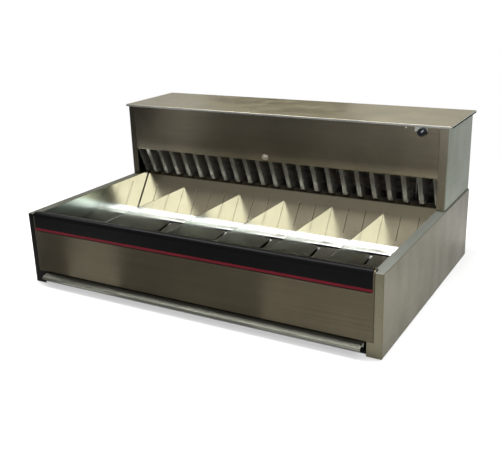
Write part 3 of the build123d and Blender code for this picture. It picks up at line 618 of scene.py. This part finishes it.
def sweep_paint():
    """Plain white paint, which keeps the object's shadow and goes white further out."""
    material, tree, shader = new_material("studio_paint")
    shader.inputs["Base Color"].default_value = (PAINT_TONE, PAINT_TONE, PAINT_TONE, 1)
    shader.inputs["Roughness"].default_value = PAINT_ROUGHNESS
    shader.inputs["Specular IOR Level"].default_value = 0.0
    place = object_place(tree)
    distance = add_node(tree, "ShaderNodeVectorMath", {0: place}, operation="LENGTH").outputs["Value"]
    far = ranged(tree, distance, CONTACT_WHITE, 1.0, (CONTACT_RADIUS, WHITE_RADIUS))
    path = add_node(tree, "ShaderNodeLightPath")
    seen = maths(tree, "MAXIMUM", path.outputs["Is Camera Ray"], path.outputs["Is Glossy Ray"])
    seen = maths(tree, "MAXIMUM", seen, path.outputs["Is Transmission Ray"])
    white = add_node(tree, "ShaderNodeEmission", {"Color": WHITE, "Strength": 1.0})
    mixed = add_node(
        tree,
        "ShaderNodeMixShader",
        {0: maths(tree, "MULTIPLY", far, seen), 1: shader.outputs[0], 2: white.outputs[0]},
    )
    tree.links.new(mixed.outputs[0], surface_input(tree))
    return material


def make_sweep():
    """Floor that curves up into a wall behind the object."""
    profile = [(FLOOR_FRONT, 0.0)]
    for step in range(SWEEP_STEPS + 1):
        turn = radians(90 * step / SWEEP_STEPS)
        profile.append((FLOOR_BACK - SWEEP_RADIUS * (1 - sin(turn)), SWEEP_RADIUS * (1 - cos(turn))))
    profile.append((FLOOR_BACK, WALL_HEIGHT))
    points = [(x, y, z) for y, z in profile for x in (FLOOR_LEFT, FLOOR_RIGHT)]
    faces = [(2 * n, 2 * n + 1, 2 * n + 3, 2 * n + 2) for n in range(len(profile) - 1)]
    mesh = bpy.data.meshes.new("studio_sweep")
    mesh.from_pydata(points, [], faces)
    for face in mesh.polygons:
        face.use_smooth = True
    sweep = bpy.data.objects.new("studio_sweep", mesh)
    bpy.context.scene.collection.objects.link(sweep)
    sweep.data.materials.append(sweep_paint())


def make_world():
    """Dim studio round the object, plain white where the camera looks past the floor."""
    world = bpy.data.worlds.new("studio_world")
    bpy.context.scene.world = world
    world.use_nodes = True
    tree = world.node_tree
    background = tree.nodes["Background"]
    background.inputs["Color"].default_value = WORLD_TINT
    path = add_node(tree, "ShaderNodeLightPath")
    seen = maths(tree, "MAXIMUM", path.outputs["Is Camera Ray"], path.outputs["Is Transmission Ray"])
    level = ranged(tree, seen, WORLD_LEVEL, WORLD_WHITE, WHOLE_SPAN)
    tree.links.new(level, background.inputs["Strength"])


def turned_to(place, right, up, back):
    """Matrix of an object at a place, with its own X, Y and Z along three unit vectors."""
    axes = Matrix((right, up, back)).transposed()
    return Matrix.Translation(place) @ axes.to_4x4()


def soft_light(name, place, target, size, level):
    """Rectangular soft box; level is its brightness, where 1 is white."""
    width, height = size
    data = bpy.data.lights.new(name, "AREA")
    data.shape = "RECTANGLE"
    data.size, data.size_y = size
    data.energy = level * width * height * pi
    light = bpy.data.objects.new(name, data)
    back = (Vector(place) - Vector(target)).normalized()
    straight_down = place[:2] == target[:2]
    right = Vector(RIGHT) if straight_down else Vector(UP).cross(back).normalized()
    light.matrix_world = turned_to(place, right, back.cross(right), back)
    bpy.context.scene.collection.objects.link(light)


def reflector(name, corners, level):
    """Card that shows only in reflections; level is 0 for black and 1 for white."""
    mesh = bpy.data.meshes.new(name)
    mesh.from_pydata(corners, [], [(0, 1, 2, 3)])
    card = bpy.data.objects.new(name, mesh)
    material, tree, _ = new_material(f"{name}_paper")
    glow = add_node(tree, "ShaderNodeEmission", {"Color": WHITE, "Strength": level})
    tree.links.new(glow.outputs[0], surface_input(tree))
    mesh.materials.append(material)
    card.visible_camera = False
    card.visible_diffuse = False
    card.visible_shadow = False
    bpy.context.scene.collection.objects.link(card)


def on_floor(edges, left_seam, right_seam):
    """Corners of a card that lies just above the floor."""
    near, far = edges
    corners = ((left_seam[0], near), (right_seam[0], near), (right_seam[1], far), (left_seam[1], far))
    return [(x, y, CARD_HEIGHT) for x, y in corners]


def standing(left, right, low, high, y):
    """Corners of an upright card that faces the front."""
    return [(left, y, low), (right, y, low), (right, y, high), (left, y, high)]


def make_cards():
    """Dark and pale cards that draw the bands in the steel's reflections."""
    reflector("left_card", on_floor(LEFT_CARD_EDGES, *LEFT_CARD_SEAMS), LEFT_CARD_LEVEL)
    neighbours = zip(FRONT_CARD_SEAMS, FRONT_CARD_SEAMS[1:])
    for (name, level), seams in zip(FRONT_CARD_LEVELS, neighbours):
        reflector(name, on_floor(FRONT_CARD_EDGES, *seams), level)
    for name, *sides, level in UPRIGHT_CARDS:
        reflector(name, standing(*sides), level)


def make_camera():
    """Camera that stands where the photograph was taken from."""
    azimuth, elevation = radians(CAMERA_AZIMUTH), radians(CAMERA_ELEVATION)
    back = Vector((sin(azimuth) * cos(elevation), -cos(azimuth) * cos(elevation), sin(elevation)))
    right = (-back).cross(Vector(UP)).normalized()
    up = right.cross(-back)
    turn, lift = cos(radians(CAMERA_ROLL)), sin(radians(CAMERA_ROLL))
    data = bpy.data.cameras.new("photo_camera")
    data.sensor_width = SENSOR
    data.sensor_fit = "HORIZONTAL"
    data.lens = SENSOR * FOCAL_PIXELS / PHOTO_WIDTH
    camera = bpy.data.objects.new("photo_camera", data)
    camera.matrix_world = turned_to(CAMERA_PLACE, turn * right + lift * up, turn * up - lift * right, back)
    bpy.context.scene.collection.objects.link(camera)
    bpy.context.scene.camera = camera


# --- scene ----------------------------------------------------------------------------

dress_body()
dress_trough()
dress_metalwork()
dress_fittings()
make_sweep()
make_world()
for box in SOFT_BOXES:
    soft_light(*box)
make_cards()
make_camera()

scene = bpy.context.scene
scene.view_settings.view_transform = "Standard"
